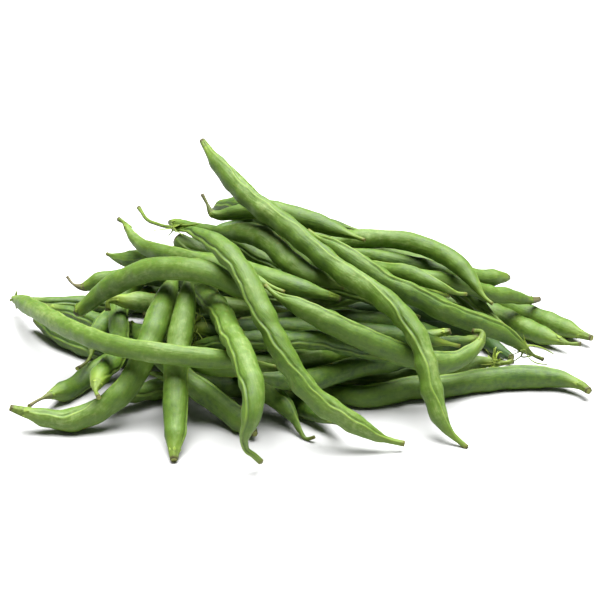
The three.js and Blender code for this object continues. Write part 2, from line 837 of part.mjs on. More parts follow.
// Square frames carried along the bean without twisting, upright in its middle.
function framesAlong(centres) {
  const last = centres.length - 1;
  const tangents = centres.map((_, k) =>
    centres[Math.min(k + 1, last)].clone().sub(centres[Math.max(k - 1, 0)]).normalize());
  const uprights = [];
  const middle = Math.round(last / 2);
  const carry = (k, upright) => {
    uprights[k] = upright.clone().addScaledVector(tangents[k], -upright.dot(tangents[k])).normalize();
  };
  carry(middle, new THREE.Vector3(0, 0, 1));
  for (let k = middle + 1; k <= last; k += 1) carry(k, uprights[k - 1]);
  for (let k = middle - 1; k >= 0; k -= 1) carry(k, uprights[k + 1]);
  return centres.map((_, k) => ({
    upright: uprights[k],
    side: tangents[k].clone().cross(uprights[k]),
  }));
}

function beanGeometry(laidBean) {
  const { bean } = laidBean;
  const lengths = lengthsAlong(laidBean.spots);
  const length = lengths[lengths.length - 1];
  const distances = ringDistances(bean, length);
  const centres = distances.map((distance) => pointAt(laidBean, lengths, distance));
  const frames = framesAlong(centres);
  const corners = [];
  const addCorner = ({ x, y, z }) => corners.push(x, y, z < FLAT_SPOT ? 0 : z);
  const podStart = bean.stem;
  const podEnd = length - bean.beak;
  const pitch = (podEnd - podStart) / Math.max(1, Math.round((podEnd - podStart) / SEED_PITCH));
  distances.forEach((distance, ring) => {
    const radius = radiusAt(bean, length, distance);
    const inPod = distance > podStart + COLLAR_LENGTH && distance < podEnd;
    const seeds = inPod ? -Math.cos(((distance - podStart) / pitch) * 2 * Math.PI) : 0;
    const turned = THREE.MathUtils.degToRad(bean.seam + (bean.twist * distance) / length);
    for (let side = 0; side < POD_SIDES; side += 1) {
      const fromSeam = (side / POD_SIDES) * 2 * Math.PI;
      const cheek = Math.abs(Math.sin(fromSeam));
      let share = 1;
      if (inPod) {
        share -= CHEEK_FLATTENING * cheek ** 2;
        share += SEED_SWELLING * seeds * cheek;
        share += side === 0 ? SEAM_RIDGE : 0;
        share += side === POD_SIDES / 2 ? BACK_RIDGE : 0;
      }
      if (distance === podStart && bean.lobes) share = side % 2 ? LOBE_REACH : LOBE_NOTCH;
      const angle = turned + fromSeam;
      addCorner(centres[ring].clone()
        .addScaledVector(frames[ring].upright, Math.cos(angle) * radius * share)
        .addScaledVector(frames[ring].side, Math.sin(angle) * radius * share));
    }
  });
  const rings = distances.length;
  const stemPole = rings * POD_SIDES;
  const beakPole = stemPole + 1;
  addCorner(laidBean.spots[0]);
  addCorner(laidBean.spots[laidBean.spots.length - 1]);
  const faces = [];
  for (let side = 0; side < POD_SIDES; side += 1) {
    const next = (side + 1) % POD_SIDES;
    faces.push(stemPole, next, side);
    for (let ring = 0; ring < rings - 1; ring += 1) {
      const near = ring * POD_SIDES;
      const far = near + POD_SIDES;
      faces.push(near + side, near + next, far + side);
      faces.push(near + next, far + next, far + side);
    }
    const lastRing = (rings - 1) * POD_SIDES;
    faces.push(lastRing + side, lastRing + next, beakPole);
  }
  const geometry = new THREE.BufferGeometry();
  geometry.setAttribute("position", new THREE.Float32BufferAttribute(corners, 3));
  geometry.setIndex(faces);
  geometry.computeVertexNormals();
  return geometry;
}

// ---- the heap ----

// Moves the beans so that the origin is under the middle of the heap.
function standOnOrigin(heap) {
  const middle = new THREE.Box3().setFromObject(heap).getCenter(new THREE.Vector3());
  heap.children.forEach((mesh) => mesh.geometry.translate(-middle.x, -middle.y, 0));
}

function buildHeap() {
  const heap = new THREE.Group();
  heap.name = "green_bean_heap";
  const lines = BEANS.map((entry) => layLine({ ...USUAL_BEAN, ...entry }));
  settle(lines);
  for (const line of lines) {
    const material = new THREE.MeshStandardMaterial({ color: POD_COLOUR, roughness: POD_ROUGHNESS });
    const mesh = new THREE.Mesh(beanGeometry(line), material);
    mesh.name = line.bean.name;
    heap.add(mesh);
  }
  standOnOrigin(heap);
  return heap;
}

const group = buildHeap();

export default group;
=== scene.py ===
"""Looks for a loose heap of fresh green beans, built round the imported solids."""

import logging
import math
from collections.abc import Callable
from dataclasses import asdict, dataclass
from enum import Enum

import bpy
import numpy as np
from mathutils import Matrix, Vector


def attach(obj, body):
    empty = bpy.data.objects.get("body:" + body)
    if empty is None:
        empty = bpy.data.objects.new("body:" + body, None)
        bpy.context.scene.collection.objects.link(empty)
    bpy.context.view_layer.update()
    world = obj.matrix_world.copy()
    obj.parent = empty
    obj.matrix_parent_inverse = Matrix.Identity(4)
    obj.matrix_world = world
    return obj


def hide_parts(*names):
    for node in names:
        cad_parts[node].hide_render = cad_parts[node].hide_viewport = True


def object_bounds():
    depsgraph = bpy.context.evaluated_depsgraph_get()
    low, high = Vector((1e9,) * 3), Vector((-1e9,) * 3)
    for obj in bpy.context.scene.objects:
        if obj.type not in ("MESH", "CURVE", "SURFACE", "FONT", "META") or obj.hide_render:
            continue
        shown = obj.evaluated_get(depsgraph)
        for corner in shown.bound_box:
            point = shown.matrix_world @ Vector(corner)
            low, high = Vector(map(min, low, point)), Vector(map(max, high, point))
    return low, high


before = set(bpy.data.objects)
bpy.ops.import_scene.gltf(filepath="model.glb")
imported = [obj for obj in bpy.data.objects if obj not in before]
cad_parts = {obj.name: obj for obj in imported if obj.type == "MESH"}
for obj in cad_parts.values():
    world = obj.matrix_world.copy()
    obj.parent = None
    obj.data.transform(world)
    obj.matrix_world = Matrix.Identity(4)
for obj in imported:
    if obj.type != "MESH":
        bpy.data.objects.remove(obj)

CAD_BOX = [list(corner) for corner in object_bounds()]
log = logging.getLogger("green beans")

MM = 0.001
BODY = "root"
FRONT_RISE = math.radians(25)
NOISE_MEAN = 0.5
FIRST_WEIGHT = 7
CHANCES = 9973

Colour = tuple[float, float, float, float]
Span = tuple[float, float]
Numbers = np.ndarray


def put(name: str, data: bpy.types.ID) -> bpy.types.Object:
    """Make an object and put it in the scene.

    Args:
        name: The object's name.
        data: Its mesh, light or camera.

    Returns:
        The object.
    """
    thing = bpy.data.objects.new(name, data)
    bpy.context.scene.collection.objects.link(thing)
    return thing


def linear(red: int, green: int, blue: int) -> Colour:
    """Return the linear colour that nodes take for a colour as it is seen, 0 to 255."""
    shares = [share / 255 for share in (red, green, blue)]
    return tuple(
        share / 12.92 if share <= 0.04045 else ((share + 0.055) / 1.055) ** 2.4
        for share in shares
    ) + (1.0,)


# ---- node trees written as sums ----


def _operator(operation: str, swapped: bool = False) -> Callable[["Value", object], "Value"]:
    """Return the method behind one sign, which writes a Math node."""

    def write(value: "Value", other: object) -> "Value":
        """Return the two, put together by the operation."""
        return value.plan.math(operation, *((other, value) if swapped else (value, other)))

    return write


class Value:
    """An output of a node, which takes part in sums."""

    def __init__(self, plan: "Plan", node: bpy.types.Node, key: int | str = 0) -> None:
        """Keep the tree, the node and which output is meant."""
        self.plan, self.node, self.key = plan, node, key

    @property
    def socket(self) -> bpy.types.NodeSocket:
        """The output's socket."""
        return self.node.outputs[self.key]

    def out(self, key: int | str) -> "Value":
        """Return another output of the node."""
        return Value(self.plan, self.node, key)

    __add__, __radd__ = _operator("ADD"), _operator("ADD", swapped=True)
    __sub__, __rsub__ = _operator("SUBTRACT"), _operator("SUBTRACT", swapped=True)
    __mul__, __truediv__ = _operator("MULTIPLY"), _operator("DIVIDE")


class Plan:
    """A shader or geometry node tree, written in Python expressions."""

    def __init__(self, tree: bpy.types.NodeTree) -> None:
        """Start writing in a tree."""
        self.tree = tree

    def add(self, kind: str, sockets: dict | None = None, **settings: str) -> Value:
        """Add one node.

        Args:
            kind: The node's type.
            sockets: Values or plain numbers, colours or names for its inputs.
            settings: Its own settings, set first.

        Returns:
            The node's first output.
        """
        node = self.tree.nodes.new(kind)
        for name, setting in settings.items():
            setattr(node, name, setting)
        for key, given in (sockets or {}).items():
            if isinstance(given, Value):
                self.tree.links.new(given.socket, node.inputs[key])
            else:
                node.inputs[key].default_value = given
        return Value(self, node)

    def math(self, operation: str, *numbers: object) -> Value:
        """Return the result of one Math operation on values or plain numbers."""
        return self.add("ShaderNodeMath", dict(enumerate(numbers)), operation=operation)

    def vector(self, operation: str, *vectors: object) -> Value:
        """Return the result of one Vector Math operation."""
        return self.add("ShaderNodeVectorMath", dict(enumerate(vectors)), operation=operation)

    def scaled(self, vector: object, factor: object) -> Value:
        """Return a vector times a number."""
        return self.add("ShaderNodeVectorMath", {0: vector, "Scale": factor}, operation="SCALE")

    def summed(self, *vectors: Value) -> Value:
        """Return the sum of two vectors or more."""
        total = vectors[0]
        for vector in vectors[1:]:
            total = self.vector("ADD", total, vector)
        return total

    def joined(self, x: object, y: object, z: object) -> Value:
        """Return a vector of three numbers."""
        return self.add("ShaderNodeCombineXYZ", {0: x, 1: y, 2: z})

    def parts(self, vector: object) -> tuple[Value, Value, Value]:
        """Return the three numbers of a vector."""
        made = self.add("ShaderNodeSeparateXYZ", {0: vector})
        return tuple(made.out(k) for k in range(3))

    def length(self, x: Value, y: Value) -> Value:
        """Return how far a place in the plane is from the middle."""
        return self.math("SQRT", x * x + y * y)

    def hump(self, place: Value, centre: object, width: object) -> Value:
        """Return a smooth hump: 1 at the centre, and nearly 0 beyond twice the width."""
        off = (place - centre) / width
        return self.math("EXPONENT", off * off * -1)

    def step(self, place: Value, low: float, high: float) -> Value:
        """Return a smooth step: 0 below low and 1 above high."""
        ends = {"Value": place, "From Min": low, "From Max": high}
        return self.add("ShaderNodeMapRange", ends, interpolation_type="SMOOTHSTEP")

    def mix(self, share: object, start: object, end: object) -> Value:
        """Return a colour between two colours."""
        return self.add("ShaderNodeMix", {0: share, 6: start, 7: end}, data_type="RGBA").out(2)

    def noise(self, place: object, scale: float, detail: float = 2.0, rough: float = 0.5) -> Value:
        """Return noise in space, 0 to 1 and NOISE_MEAN on the average."""
        sockets = {"Vector": place, "Scale": scale, "Detail": detail, "Roughness": rough}
        return self.add("ShaderNodeTexNoise", sockets)


class SkinPlan(Plan):
    """The tree of a finish, which reads the marks on a bean's points."""

    def __init__(self, name: str) -> None:
        """Make an empty material.

        Args:
            name: The material's name.
        """
        self.material = bpy.data.materials.new(name)
        self.material.use_nodes = True
        self.material.node_tree.nodes.clear()
        super().__init__(self.material.node_tree)

    def mark(self, label: str) -> tuple[Value, Value, Value]:
        """Return the three numbers of one of the marks."""
        return self.parts(self.add("ShaderNodeAttribute", attribute_name=label).out("Vector"))

    def relief(self, height: Value, strength: float, depth: float) -> Value:
        """Return a surface direction that follows heights of 0 to 1, with depth in metres."""
        sockets = {"Strength": strength, "Distance": depth, "Height": height}
        return self.add("ShaderNodeBump", sockets)

    def finished(self, sockets: dict[str, object]) -> bpy.types.Material:
        """End the tree with its shader.

        Args:
            sockets: The shader's inputs, by name.

        Returns:
            The material.
        """
        shell = self.add("ShaderNodeBsdfPrincipled", sockets)
        self.add("ShaderNodeOutputMaterial", {"Surface": shell})
        return self.material


class GeometryPlan(Plan):
    """A Geometry Nodes tree with named inputs."""

    def __init__(self, name: str, inputs: dict[str, str]) -> None:
        """Make the tree and its inputs.

        Args:
            name: The tree's name.
            inputs: Each input's socket type, by its name.
        """
        super().__init__(bpy.data.node_groups.new(name, "GeometryNodeTree"))
        face = self.tree.interface
        face.new_socket("Geometry", in_out="INPUT", socket_type="NodeSocketGeometry")
        self.keys = {
            label: face.new_socket(label, in_out="INPUT", socket_type=kind).identifier
            for label, kind in inputs.items()
        }
        face.new_socket("Geometry", in_out="OUTPUT", socket_type="NodeSocketGeometry")
        self._start = self.add("NodeGroupInput")

    def given(self, label: str) -> Value:
        """Return one of the tree's inputs."""
        return self._start.out(label)

    def here(self) -> Value:
        """Return the place of each point."""
        return self.add("GeometryNodeInputPosition")

    def stored(self, label: str, kind: str = "FLOAT") -> Value:
        """Return an attribute of the geometry, by its name."""
        return self.add("GeometryNodeInputNamedAttribute", {"Name": label}, data_type=kind)

    def stored_parts(self, label: str) -> tuple[Value, Value, Value]:
        """Return the three numbers of a vector attribute, by its name."""
        return self.parts(self.stored(label, "FLOAT_VECTOR"))

    def keep(self, mesh: Value, label: str, vector: Value) -> Value:
        """Return the mesh with a vector attribute stored on its points."""
        sockets = {"Geometry": mesh, "Name": label, "Value": vector}
        return self.add("GeometryNodeStoreNamedAttribute", sockets, data_type="FLOAT_VECTOR")

    def moved(self, mesh: Value, place: Value) -> Value:
        """Return the mesh with its points at given places."""
        return self.add("GeometryNodeSetPosition", {"Geometry": mesh, "Position": place})

    def smoothed(self, mesh: Value, where: object = True) -> Value:
        """Return the mesh with smooth shading where a selection holds."""
        return self.add("GeometryNodeSetShadeSmooth", {"Geometry": mesh, "Selection": where})

    def dressed(self, mesh: Value, finish: bpy.types.Material, where: object = True) -> Value:
        """Return the mesh with a material set where a selection holds."""
        sockets = {"Geometry": mesh, "Selection": where, "Material": finish}
        return self.add("GeometryNodeSetMaterial", sockets)

    def close(self, mesh: Value) -> None:
        """Turn copies into plain mesh and end the tree."""
        real = self.add("GeometryNodeRealizeInstances", {"Geometry": mesh})
        self.add("NodeGroupOutput", {"Geometry": real})

    def run(self, start: bpy.types.Object, values: dict[str, object]) -> bpy.types.Mesh:
        """Run the tree on an object and return the result as a plain mesh.

        Args:
            start: The object that the tree starts from. It is deleted.
            values: The tree's inputs, by name. Others are passed over.

        Returns:
            A new mesh, with nothing live left on it.
        """
        modifier = start.modifiers.new(self.tree.name, "NODES")
        modifier.node_group = self.tree
        for label, key in self.keys.items():
            modifier[key] = values[label]
        start.update_tag()
        bpy.context.view_layer.update()
        graph = bpy.context.evaluated_depsgraph_get()
        mesh = bpy.data.meshes.new_from_object(
            start.evaluated_get(graph), preserve_all_data_layers=True, depsgraph=graph
        )
        start.modifiers.remove(modifier)
        old = start.data
        bpy.data.objects.remove(start)
        bpy.data.meshes.remove(old)
        return mesh


# ---- finishes ----


@dataclass(frozen=True)
class Pattern:
    """Noise on a bean: patches to the millimetre, drawn out lengthways where along is below 1."""

    scale: float
    detail: float = 2.0
    rough: float = 0.5
    along: float = 1.0

    def on(self, plan: Plan, across: object, up: object, along: Value) -> Value:
        """Return the noise at a place in the bean, given in millimetres."""
        place = plan.joined(across, up, along * self.along)
        return plan.noise(place, self.scale, self.detail, self.rough)


@dataclass(frozen=True)
class PodSkin:
    """Waxy skin of a pod: greens that drift, pale seam lines, yellow ends, a dark line of painted
    shade in the groove beside the seam, and painted shade on beans whose tone is set low.

    Places and widths are in millimetres. A pair says where a change begins and ends, or a
    line's place beside the seam and its width.
    """

    deep: Colour = linear(33, 65, 0)
    middle: Colour = linear(74, 103, 12)
    pale: Colour = linear(128, 148, 83)
    seam: Colour = linear(130, 154, 56)
    painted_groove_shade: Colour = linear(18, 38, 0)
    # painted shade: the dark colour laid in the groove beside the seam
    yellow: Colour = linear(112, 134, 34)
    tip: Colour = linear(92, 88, 28)
    freckle: Colour = linear(118, 136, 66)
    roughness: float = 0.62
    roughness_grain: float = 0.12
    roughness_blotch: float = 0.16
    specular: float = 0.5
    under_skin: float = 0.1
    under_skin_depth: float = 0.0012

    drift: Pattern = Pattern(0.16, 3, along=0.3)
    drift_share: float = 1.3
    blotch: Pattern = Pattern(0.45, 4, 0.6)
    blotch_share: float = 1.2
    streak: Pattern = Pattern(1.9, 3, 0.6, 0.06)
    streak_share: float = 0.5
    deep_to_middle: Span = (-0.7, 0.15)
    middle_to_pale: Span = (0.05, 0.95)
    freckles: Pattern = Pattern(2.1, 1)
    freckled: Span = (0.66, 0.74)
    freckle_share: float = 0.16

    ragged: float = 5.0
    yellow_at_stem: Span = (0.0, 8.0)
    yellow_at_beak: Span = (2.0, 13.0)
    dry_tip: Span = (0.3, 2.6)
    dry_tip_share: float = 0.7

    broken: Pattern = Pattern(1.0, 2, along=0.16)
    broken_span: Span = (0.3, 0.6)
    line_share: float = 0.1
    line_rise: float = 0.35
    ridge_line: Span = (0.45, 0.3)
    painted_shade_line: Span = (-0.3, 0.2)
    back_line: Span = (0.0, 0.25)
    back_share: float = 0.25

    grain: Pattern = Pattern(3.2, 2)
    grain_height: float = 0.12
    wrinkle: Pattern = Pattern(1.3, 4, 0.6, 0.25)
    relief: float = 0.35
    relief_depth: float = 0.0006

    def build(self) -> bpy.types.Material:
        """Write the skin's nodes.

        Returns:
            The material.
        """
        plan = SkinPlan("pod skin")
        across, up, along = place = plan.mark("bean_place")
        from_collar, to_tip, tone_and_shade = plan.mark("bean_ends")
        waver, pod, yellow = plan.mark("bean_seam")
        radius = plan.length(across, up)
        angle = plan.math("ARCTAN2", up, across)
        from_seam = angle * radius - waver
        from_back = (math.pi - plan.math("ABSOLUTE", angle)) * radius

        drift, blotch, streak = (
            pattern.on(plan, *place) - NOISE_MEAN
            for pattern in (self.drift, self.blotch, self.streak)
        )
        grain = self.grain.on(plan, *place)
        freckles = plan.step(self.freckles.on(plan, *place), *self.freckled)

        tone = drift * self.drift_share + blotch * self.blotch_share + streak * self.streak_share
        # the bean's own tone; where it is set very low, as on the core beans, it is painted shade
        tone = tone + tone_and_shade
        skin = plan.mix(plan.step(tone, *self.deep_to_middle), self.deep, self.middle)
        skin = plan.mix(plan.step(tone, *self.middle_to_pale), skin, self.pale)
        skin = plan.mix(freckles * self.freckle_share, skin, self.freckle)

        near_stem = 1 - plan.step(from_collar + blotch * self.ragged, *self.yellow_at_stem)
        near_beak = 1 - plan.step(to_tip + blotch * self.ragged, *self.yellow_at_beak)
        ripe = plan.math("MAXIMUM", near_stem, near_beak) * yellow
        skin = plan.mix(ripe, skin, self.yellow)
        dry = (1 - plan.step(to_tip, *self.dry_tip)) * self.dry_tip_share
        skin = plan.mix(dry, skin, self.tip)

        broken = plan.step(self.broken.on(plan, 0.0, 0.0, along), *self.broken_span)
        strength = broken * self.line_rise + self.line_share
        ridge = plan.hump(from_seam, *self.ridge_line) * pod
        back = plan.hump(from_back, *self.back_line) * pod
        # Painted shade: a dark line laid in the groove beside the seam, where shade falls.
        painted_groove_shade = plan.hump(from_seam, *self.painted_shade_line) * pod
        skin = plan.mix(ridge * strength, skin, self.seam)
        skin = plan.mix(back * self.back_share, skin, self.seam)
        skin = plan.mix(painted_groove_shade * strength, skin, self.painted_groove_shade)

        duller = (grain - NOISE_MEAN) * self.roughness_grain + blotch * self.roughness_blotch
        height = self.wrinkle.on(plan, *place) + grain * self.grain_height
        return plan.finished(
            {
                "Base Color": skin,
                "Roughness": self.roughness + duller,
                "Specular IOR Level": self.specular,
                "Subsurface Weight": self.under_skin,
                "Subsurface Scale": self.under_skin_depth,
                "Normal": plan.relief(height, self.relief, self.relief_depth),
            }
        )


@dataclass(frozen=True)
class StemSkin:
    """Ribbed stem stub and calyx: yellow green, darker and browner to the cut, and paler on lobes
    and threads, where one shaded calyx is brightened as painted light.
    """

    fresh: Colour = linear(98, 122, 36)
    dark: Colour = linear(72, 90, 18)
    bright: Colour = linear(148, 168, 66)
    withered: Colour = linear(96, 92, 60)
    brown: Colour = linear(70, 62, 34)
    roughness: float = 0.55
    specular: float = 0.35

    patch: Pattern = Pattern(0.9, 3, 0.6)
    tint_share: float = 0.4
    dark_to_fresh: Span = (0.3, 0.75)
    brightened: Span = (0.5, 1.5)
    age_share: float = 2.0
    younger: float = 0.06
    aged: Span = (0.6, 2.2)
    ragged: float = 1.6
    browned: Span = (0.3, 1.7)
    brown_share: float = 0.85

    ribs: Pattern = Pattern(3.0, 2, along=0.1)
    relief: float = 0.6
    relief_depth: float = 0.0005

    def build(self) -> bpy.types.Material:
        """Write the stem's nodes.

        Returns:
            The material.
        """
        plan = SkinPlan("stem skin")
        place = plan.mark("bean_place")
        _, _, tone_and_shade = plan.mark("bean_ends")
        from_cut, age, bright = plan.mark("bean_seam")
        patch = self.patch.on(plan, *place)
        # stems follow the bean's tone too, painted shade included where it is set low
        fresh = plan.step(patch + tone_and_shade * self.tint_share, *self.dark_to_fresh)
        skin = plan.mix(fresh, self.dark, self.fresh)
        # Lobes and threads turn toward the bright colour by the bean's yellow; on front_frayed,
        # whose calyx lies in shade, this is painted light.
        skin = plan.mix(plan.step(bright, *self.brightened), skin, self.bright)
        old = plan.step(age * self.age_share + patch - from_cut * self.younger, *self.aged)
        skin = plan.mix(old, skin, self.withered)
        browned = 1 - plan.step(from_cut + (patch - NOISE_MEAN) * self.ragged, *self.browned)
        skin = plan.mix(browned * self.brown_share, skin, self.brown)
        return plan.finished(
            {
                "Base Color": skin,
                "Roughness": self.roughness,
                "Specular IOR Level": self.specular,
                "Normal": plan.relief(self.ribs.on(plan, *place), self.relief, self.relief_depth),
            }
        )


@dataclass(frozen=True)
class CutEnd:
    """Dried cut across a stem: darker rim, paler pith."""

    rim: Colour = linear(92, 98, 40)
    pith: Colour = linear(130, 136, 66)
    roughness: float = 0.8
    patch: Pattern = Pattern(2.5, 3)
    ragged: float = 0.8
    rim_radii: Span = (0.5, 1.2)
    relief: float = 0.5
    relief_depth: float = 0.0004

    def build(self) -> bpy.types.Material:
        """Write the cut's nodes.

        Returns:
            The material.
        """
        plan = SkinPlan("cut end")
        across, up, along = plan.mark("bean_place")
        patch = self.patch.on(plan, across, up, along)
        outer = plan.length(across, up) + (patch - NOISE_MEAN) * self.ragged
        return plan.finished(
            {
                "Base Color": plan.mix(plan.step(outer, *self.rim_radii), self.pith, self.rim),
                "Roughness": self.roughness,
                "Normal": plan.relief(patch, self.relief, self.relief_depth),
            }
        )


# ---- the route and thickness of one bean ----


@dataclass(frozen=True)
class Route:
    """A bean's middle line, from the stem's cut end to the beak's tip, in millimetres."""

    spots: Numbers
    seam_side: Numbers
    radii: Numbers

    @property
    def places(self) -> Numbers:
        """Distance of each spot from the cut end."""
        return _distances(self.spots)


class SolidReader:
    """Reads a bean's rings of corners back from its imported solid."""

    RING = 8
    DIGITS = 3
    FULL_WIDTH = 0.8
    FEWEST_STEPS = 12

    def __init__(self, node: str, thin_stem: bool) -> None:
        """Merge the solid's loose triangles.

        Args:
            node: The solid's name.
            thin_stem: Whether the stem's cut is thinner than the tip of the beak.
        """
        self.thin_stem = thin_stem
        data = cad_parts[node].data
        corners = np.array([corner.co for corner in data.vertices], float)
        corners = np.round(corners / MM, self.DIGITS)
        self.corners, same = np.unique(corners, axis=0, return_inverse=True)
        same = same.ravel()
        self.beside: dict[int, set[int]] = {}
        for face in data.polygons:
            trio = [int(same[k]) for k in face.vertices]
            for k, corner in enumerate(trio):
                self.beside.setdefault(corner, set()).update(trio[:k] + trio[k + 1 :])

    def _ordered(self, ring: set[int]) -> list[int]:
        """Put a ring's corners in turn.

        Args:
            ring: The ring's corners.

        Returns:
            The corners, each beside the one before.
        """
        turn = [min(ring)]
        while len(turn) < len(ring):
            turn.append(min(k for k in self.beside[turn[-1]] & ring if k not in turn))
        return turn

    def _aligned(self, ring: list[int], before: Numbers) -> Numbers:
        """Turn a ring so that each corner follows on from the ring before.

        Args:
            ring: The ring's corners in turn.
            before: Places of the corners of the ring before.

        Returns:
            Places of the ring's corners.
        """
        options = []
        for way in (ring, ring[::-1]):
            for shift in range(self.RING):
                corners = self.corners[way[shift:] + way[:shift]]
                off = (corners - corners.mean(0)) - (before - before.mean(0))
                options.append((float((off**2).sum()), shift, corners))
        return min(options, key=lambda option: option[0])[2]

    def rings(self) -> tuple[Numbers, Numbers]:
        """Walk the solid from pole to pole.

        Returns:
            Corners of every ring, and the two poles, the stem's first.
        """
        poles = [k for k, near in self.beside.items() if len(near) == self.RING]
        used = {poles[0]}
        ring = set(self.beside[poles[0]])
        walked = [self.corners[self._ordered(ring)]]
        while True:
            used |= ring
            ring = set().union(*(self.beside[k] for k in ring)) - used
            if len(ring) < self.RING:
                break
            walked.append(self._aligned(self._ordered(ring), walked[-1]))
        ends = self.corners[poles]
        widths = [np.linalg.norm(walked[k] - walked[k].mean(0), axis=1).mean() for k in (0, -1)]
        if (widths[0] < widths[1]) != self.thin_stem:
            walked, ends = walked[::-1], ends[::-1]
        return np.array(walked), ends

    def route(self, spacing: float) -> Route:
        """Lay a smooth, evenly spaced middle line through the rings.

        Args:
            spacing: Distance between spots, about.

        Returns:
            The bean's route.
        """
        rings, poles = self.rings()
        middles = rings.mean(1)
        spokes = rings - middles[:, None]
        lengths = np.linalg.norm(spokes, axis=2)
        wide = lengths.mean(1)
        pod = lengths[wide > self.FULL_WIDTH * wide.max()].mean(0)
        seam = spokes[:, int(pod.argmax())]
        line = np.vstack([poles[:1], middles[1:], poles[1:]])
        seam = np.vstack([seam, seam[-1:]])
        wide = np.concatenate([wide, wide[-1:]])
        knots = _distances(line)
        count = max(self.FEWEST_STEPS, int(round(knots[-1] / spacing)))
        places = np.linspace(0, knots[-1], count + 1)
        return Route(
            _through(knots, line, places),
            _through(knots, seam, places),
            np.interp(places, knots, wide),
        )


def _distances(line: Numbers) -> Numbers:
    """Return how far along a line of spots each spot is."""
    return np.concatenate([[0.0], np.cumsum(np.linalg.norm(np.diff(line, axis=0), axis=1))])


def _through(knots: Numbers, values: Numbers, places: Numbers) -> Numbers:
    """Return values on a smooth curve through the given ones.

    Args:
        knots: Where the given values stand.
        values: The given values.
        places: Where new values are wanted.

    Returns:
        New values, by cubic pieces that keep the slope at the knots.
    """
    slopes = np.gradient(values, knots, axis=0)
    k = np.clip(np.searchsorted(knots, places, side="right") - 1, 0, len(knots) - 2)
    gap = (knots[k + 1] - knots[k])[:, None]
    t = ((places - knots[k])[:, None]) / gap
    start = (1 + 2 * t) * (1 - t) ** 2 * values[k] + t * (1 - t) ** 2 * gap * slopes[k]
    end = t**2 * (3 - 2 * t) * values[k + 1] + t**2 * (t - 1) * gap * slopes[k + 1]
    return start + end


def _rise(places: Numbers, low: float, high: float) -> Numbers:
    """Return 0 before low, 1 after high, and a smooth rise between."""
    t = np.clip((places - low) / (high - low), 0, 1)
    return t * t * (3 - 2 * t)


def _unit(vectors: Numbers) -> Numbers:
    """Return vectors of length 1."""
    return vectors / np.linalg.norm(vectors, axis=1)[:, None]


# ---- how each bean is made and dressed ----


@dataclass(frozen=True)
class CalyxShape:
    """Lobes and threads round a collar, in millimetres and degrees."""

    lobes: int = 0
    lobe_length: float = 1.0
    lobe_width: float = 1.0
    spread: float = 0.0
    threads: int = 0
    thread_length: float = 6.0
    thread_curl: float = 3.0
    thread_radius: float = 0.2


class Calyx(Enum):
    """What is left of the flower at a bean's stem end."""

    BARE = CalyxShape()
    PRESSED = CalyxShape(5, 2.0, 0.9, 9.0)
    STAR = CalyxShape(4, 3.0, 0.7, 70.0)
    FRAYED = CalyxShape(9, 5.0, 1.7, 60.0, 22, 5.0, 3.0, 0.32)
    TORN = CalyxShape(7, 12.0, 1.3, 7.0, 3, 7.0, 2.5, 0.3)
    CURLY = CalyxShape(5, 5.0, 1.0, 24.0, 6, 8.0, 5.0, 0.38)


@dataclass(frozen=True)
class Growth:
    """What chance does along a bean, in millimetres or in shares of the seeds' pitch."""

    places: Numbers
    rng: np.random.Generator
    full_turn: float = 6.3
    slow_waves: tuple[Span, ...] = ((34.0, 60.0), (17.0, 26.0))
    wave_sizes: Span = (0.3, 1.0)
    seam_waves: tuple[tuple[float, Span], ...] = ((0.6, (21.0, 30.0)), (0.4, (9.0, 13.0)))
    first_seed: float = 0.7
    last_seed: float = 0.8
    seed_sizes: Span = (0.45, 1.25)
    seed_reach: float = 0.3
    seed_steps: Span = (0.85, 1.2)
    seed_height: float = 1.5
    waist: float = 0.55

    def _wave(self, length: float) -> Numbers:
        """Return a wave of some length that starts anywhere."""
        return np.sin(self.places * 2 * math.pi / length + self.rng.uniform(0, self.full_turn))

    def drift(self) -> Numbers:
        """Return the slow drift of the thickness, about -2 to 2."""
        waves = [self.rng.uniform(*span) for span in self.slow_waves]
        return sum(self.rng.uniform(*self.wave_sizes) * self._wave(wave) for wave in waves)

    def wavers(self) -> Numbers:
        """Return how far the seam strays, in shares of the most it may."""
        waves = [(share, self.rng.uniform(*span)) for share, span in self.seam_waves]
        return sum(share * self._wave(wave) for share, wave in waves)

    def swells(self, start: float, end: float, pitch: float) -> Numbers:
        """Set a seed's swelling after every pitch or so, with a waist between seeds.

        Args:
            start, end: Where the pod starts and ends.
            pitch: Distance from seed to seed, about.

        Returns:
            The swelling at each spot, about -1 to 1.
        """
        swell = np.zeros_like(self.places)
        place = start + self.first_seed * pitch
        while place < end - self.last_seed * pitch:
            size = self.rng.uniform(*self.seed_sizes)
            swell += size * np.exp(-(((self.places - place) / (self.seed_reach * pitch)) ** 2))
            place += pitch * self.rng.uniform(*self.seed_steps)
        return swell * self.seed_height - self.waist


